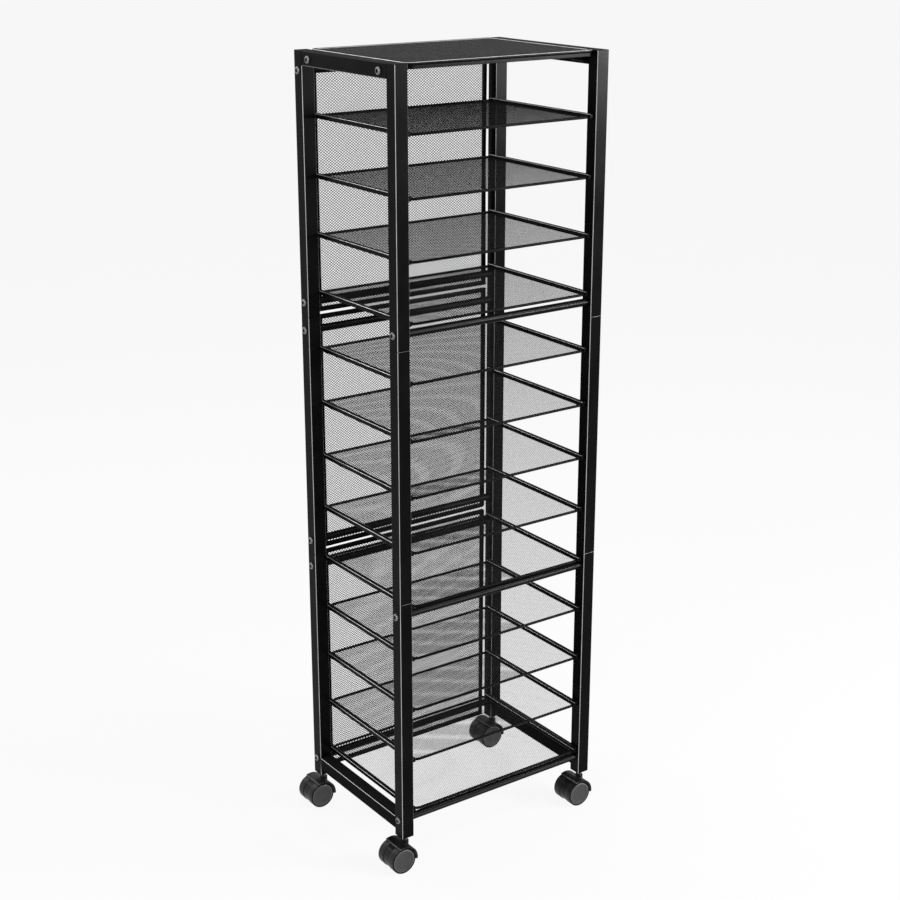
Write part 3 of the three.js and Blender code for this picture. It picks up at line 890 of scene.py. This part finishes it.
def screw_pattern(steel, socket_shade):
    """A button-head screw at the origin whose head stands out along +X."""
    head = rod("screw_pattern", (0, 0, 0), (SCREW_PROUD, 0, 0), SCREW_RADIUS, ROUND_SIDES)
    rim = SCREW_PROUD * 0.99

    def on_rim(edge):
        return all(head.data.vertices[index].co.x > rim for index in edge.vertices)

    bevel_edges(head, on_rim, SCREW_ROUND, 5)
    bottom = (SCREW_PROUD - SCREW_SOCKET_DEPTH, 0, 0)
    socket = rod("screw_socket", bottom, (SCREW_PROUD * 2, 0, 0), SCREW_SOCKET, SCREW_SOCKET_SIDES)
    modify(head, "BOOLEAN", object=socket, operation="DIFFERENCE", solver="EXACT")
    remove(socket)
    smooth(head, 40.0)
    paint(head, steel)
    head.data.materials.append(socket_shade)
    # Faces inside the socket take the blacker finish, painted shade
    for face in head.data.polygons:
        reach = math.hypot(face.center.y, face.center.z)
        inside = reach < SCREW_SOCKET * 1.01 and face.center.x < SCREW_PROUD * 0.95
        face.material_index = 1 if inside and face.center.x > TINY else 0
    return head


def make_screws(steel, socket_shade):
    pattern = screw_pattern(steel, socket_shade)
    mirror = Matrix.Rotation(math.pi, 4, "Z")
    face = {"left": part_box("post_front_left_top")[0].x, "right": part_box("post_front_right_top")[1].x}
    depth = {end: middle_of(f"post_{end}_left_top").y for end in ENDS}
    front_heights = [middle_of(f"front_rail_{place}").z for place in FRONT_RAILS]
    back_heights = [height for section in SECTIONS for height in panel_rail_heights(section)]
    places = [("front", z) for z in front_heights] + [("back", z) for z in back_heights]
    for side in SIDES:
        for number, (end, z) in enumerate(places, 1):
            screw = copy_of(pattern, f"post_screw_{side}_{number:02d}", (0, 0, 0))
            if side == "left":
                screw.data.transform(mirror)
            screw.data.transform(Matrix.Translation((face[side], depth[end], z)))
            install(screw, FRAME_BODY, "screw_steel")
        for end in ENDS:
            node = f"shelf_screw_{end}_{side}"
            middle = middle_of(node)
            screw = copy_of(pattern, f"{node}_head", (0, 0, 0))
            if side == "left":
                screw.data.transform(mirror)
            screw.data.transform(Matrix.Translation((face[side], middle.y, middle.z)))
            install(screw, FRAME_BODY, "screw_steel", node)
    remove(pattern)


def step_face(direction, steps):
    """Insets the selected face and pushes it along a direction, step by step."""
    for inset, push in steps:
        bpy.ops.mesh.inset(thickness=inset)
        bpy.ops.transform.translate(value=Vector(direction) * push)


def wheel_pattern(tread, disc, rim):
    """A wheel about the Y axis, its inner side at y = 0 and its disc at the far side."""
    wheel = rod("wheel_pattern", (0, 0, 0), (0, WHEEL_WIDTH, 0), WHEEL_RADIUS, WHEEL_SIDES)
    along = edge_runs_along(wheel, 1)
    bevel_edges(wheel, lambda edge: not along(edge), WHEEL_EASE, 4)
    for material in (tread, disc, rim):
        wheel.data.materials.append(material)
    edit(wheel, "FACE", faces_towards((0, 1, 0)))
    groove = WHEEL_RADIUS - WHEEL_EASE - WHEEL_DISC
    step_face((0, 1, 0), [(groove * share, push) for share, push in GROOVE_STEPS])
    step_face((0, 1, 0), DISC_STEPS)
    done()
    # The ring round the disc takes the rim finish, whose blacker grey is painted shade
    edge = WHEEL_DISC + 0.05 * MM
    for face in wheel.data.polygons:
        outside = face.center.y > WHEEL_WIDTH - 2 * MM
        reach = math.hypot(face.center.x, face.center.z)
        face.material_index = 0
        if outside and reach < edge:
            face.material_index = 1
        elif outside and reach < WHEEL_RADIUS - WHEEL_EASE * 0.1:
            face.material_index = 2
    smooth(wheel, 55.0)

    # Painted highlight on a band inside the disc's edge
    def rim_highlight(point):
        in_from_edge = WHEEL_DISC - math.hypot(point.co.x, point.co.z)
        on_face = point.co.y > WHEEL_WIDTH - DISC_RIM_DEPTH
        return 1.0 if on_face and DISC_RIM[0] < in_from_edge < DISC_RIM[1] else 0.0

    mark_points(wheel, rim_highlight)
    return wheel


def wedge(piece, start, end):
    """Keeps what lies between two angles about the Y axis, less than half a turn apart."""
    cut_away(piece, (0, 0, 0), (math.sin(start), 0, -math.cos(start)))
    cut_away(piece, (0, 0, 0), (-math.sin(end), 0, math.cos(end)))


def hood_pattern(plastic):
    """The hood about an axle along Y through the origin, with the stem at +X."""
    half = HOOD_WIDTH / 2
    hood = rod("hood_pattern", (HOOD_SHIFT, -half, 0), (HOOD_SHIFT, half, 0), HOOD_RADIUS, HOOD_SIDES)
    hollow = rod("hood_hollow", (0, -half * 2, 0), (0, half * 2, 0), HOOD_INNER, HOOD_SIDES)
    modify(hood, "BOOLEAN", object=hollow, operation="DIFFERENCE", solver="EXACT")
    remove(hollow)
    wedge(hood, HOOD_START, HOOD_END)
    web_ends = (0, -WEB_WIDTH / 2, 0), (0, WEB_WIDTH / 2, 0)
    bridge = rod("hood_bridge", *web_ends, HOOD_INNER + HOOD_OVERLAP, WHEEL_SIDES)
    wedge(bridge, HOOD_START, HOOD_END)
    web = rod("hood_web", *web_ends, WEB_RADIUS, WHEEL_SIDES)
    boss_ends = (STEM_TRAIL, 0, -BOSS_DROP), (STEM_TRAIL, 0, BOSS_TOP)
    boss = rod("hood_boss", *boss_ends, WEB_WIDTH / 2, ROUND_SIDES)
    for part in (bridge, web, boss):
        modify(hood, "BOOLEAN", object=part, operation="UNION", solver="EXACT")
        remove(part)
    modify(hood, "BEVEL", width=HOOD_EASE, segments=2, limit_method="ANGLE", angle_limit=math.radians(50))
    smooth(hood, 35.0)

    # Painted highlight along the hood's rear edge
    def end_highlight(point):
        turn = math.atan2(point.co.z, point.co.x)
        on_fender = math.hypot(point.co.x, point.co.z) > HOOD_INNER - MM
        return 1.0 if on_fender and abs(turn - HOOD_END) < HOOD_EDGE_REACH else 0.0

    mark_points(hood, end_highlight)
    return paint(hood, plastic)


def make_stem(caster, steel):
    """The neck that shows between the hood and the post."""
    middle = middle_of(f"{caster}_stem")
    foot = middle_of(f"{caster}_axle").z + BOSS_TOP - NECK_OVERLAP
    top = section_span("bottom")[0] + NECK_OVERLAP
    neck_ends = (middle.x, middle.y, foot), (middle.x, middle.y, top)
    neck = rod(f"{caster}_neck", *neck_ends, NECK_RADIUS, ROUND_SIDES)
    upright = edge_runs_along(neck, 2)
    bevel_edges(neck, lambda edge: not upright(edge), NECK_EASE, 3)
    smooth(neck, 40.0)
    install(paint(neck, steel), FRAME_BODY, "zinc_steel", f"{caster}_stem")


def make_casters(wheel_finishes, plastic, steel):
    wheel = wheel_pattern(*wheel_finishes)
    hood = hood_pattern(plastic)
    turn_round = Matrix.Rotation(math.pi, 4, "Z")
    for end in ENDS:
        for side in SIDES:
            caster = f"caster_{end}_{side}"
            axle = middle_of(f"{caster}_axle")
            shell = copy_of(hood, f"{caster}_hood_shell", axle)
            install(shell, f"{caster}_swivel", "hood_plastic", f"{caster}_hood")
            for face in ENDS:
                node = f"{caster}_wheel_{face}"
                low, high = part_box(node)
                piece = copy_of(wheel, f"{node}_disc", (0, 0, 0))
                if face == "front":
                    piece.data.transform(turn_round)
                inner = high.y if face == "front" else low.y
                piece.data.transform(Matrix.Translation((axle.x, inner, axle.z)))
                install(piece, node, "wheel_plastic", node)
            make_stem(caster, steel)
            axle_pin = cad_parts[f"{caster}_axle"]
            axle_pin.data.materials.clear()
            axle_pin.data.materials.append(steel)
    remove(wheel)
    remove(hood)


def make_camera():
    low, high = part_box("post_front_left_bottom")
    _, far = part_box("post_back_right_bottom")
    feet = Vector(((low.x + far.x) / 2, (low.y + far.y) / 2, low.z))
    data = bpy.data.cameras.new("photo_camera")
    data.sensor_width = CAMERA_SENSOR
    data.lens = CAMERA_LENS
    data.clip_start, data.clip_end = CAMERA_CLIP
    camera = bpy.data.objects.new("photo_camera", data)
    camera.location = feet + CAMERA_FROM_POSTS
    camera.rotation_euler = (math.pi / 2 - CAMERA_TILT, 0, -CAMERA_TURN)
    scene = bpy.context.scene
    scene.collection.objects.link(camera)
    scene.camera = camera
    scene.view_settings.view_transform = "Standard"


def lamp(name, place, aim, size, power):
    data = bpy.data.lights.new(name, "AREA")
    data.shape = "RECTANGLE"
    data.size, data.size_y = size
    data.energy = power
    light = bpy.data.objects.new(name, data)
    light.location = place
    light.visible_camera = False
    light.rotation_euler = (Vector(aim) - Vector(place)).to_track_quat("-Z", "Y").to_euler()
    bpy.context.scene.collection.objects.link(light)


def make_studio():
    """Lamps, and a world that is white where it is seen and dimmer as a light."""
    for settings in LAMPS:
        lamp(*settings)
    world = bpy.data.worlds.new("studio_world")
    bpy.context.scene.world = world
    world.use_nodes = True
    nodes = Nodes(world.node_tree)
    background = nodes.tree.nodes["Background"]
    sockets = {"Value": nodes.seen(), "To Min": WORLD_LIGHT, "To Max": 1.0}
    strength = nodes.node("ShaderNodeMapRange", {}, sockets)
    nodes.feed(background.inputs["Strength"], strength.outputs[0])
    background.inputs["Color"].default_value = (1, 1, 1, 1)


def make_floor():
    """A pale floor that the camera sees nearly white, with the cart's shadow on it."""
    deselect()
    bpy.ops.mesh.primitive_plane_add(size=FLOOR_SIZE, location=(0, 0, -FLOOR_DROP))
    floor = bpy.context.object
    floor.name = "studio_floor"
    look = {"Base_Color": FLOOR_COLOUR, "Roughness": FLOOR_ROUGHNESS, "Specular_IOR_Level": FLOOR_GLOSS}
    finish = Finish("studio_floor", **look)
    white = finish.node("ShaderNodeEmission")
    share = finish.node("ShaderNodeMapRange", {}, {"Value": finish.seen(), "To Max": FLOOR_WHITE_SHARE})
    sockets = {0: share.outputs[0], 1: finish.shader.outputs[0], 2: white.outputs[0]}
    mixed = finish.node("ShaderNodeMixShader", {}, sockets)
    finish.feed(finish.tree.nodes["Material Output"].inputs["Surface"], mixed.outputs[0])
    floor.data.materials.append(finish.material)


make_camera()
make_studio()
make_floor()
black = enamel("black_enamel", *POST_ENAMEL)
tube_black = enamel("tube_enamel", *TUBE_ENAMEL)
low_black = enamel("low_rail_enamel", *LOW_RAIL_ENAMEL)
mesh_black = mesh_enamel("mesh_enamel", *MESH_ENAMEL)
shelf_black = mesh_enamel("shelf_enamel", *SHELF_ENAMEL)
make_posts(black)
make_side_rails(low_black, black)
make_front_rails(tube_black)
make_trays(black, mesh_black)
make_top_shelf(black, shelf_black)
make_back_panels(black, tube_black, mesh_black)
# The sockets' blacker finish is painted shade
make_screws(screw_steel("screw_steel", *SCREW_STEEL), screw_steel("screw_socket_shade", *SCREW_SOCKET_SHADE))
wheel_finishes = [wheel_plastic(*plastic) for plastic in WHEEL_PLASTICS]
make_casters(wheel_finishes, hood_plastic(), zinc_steel())
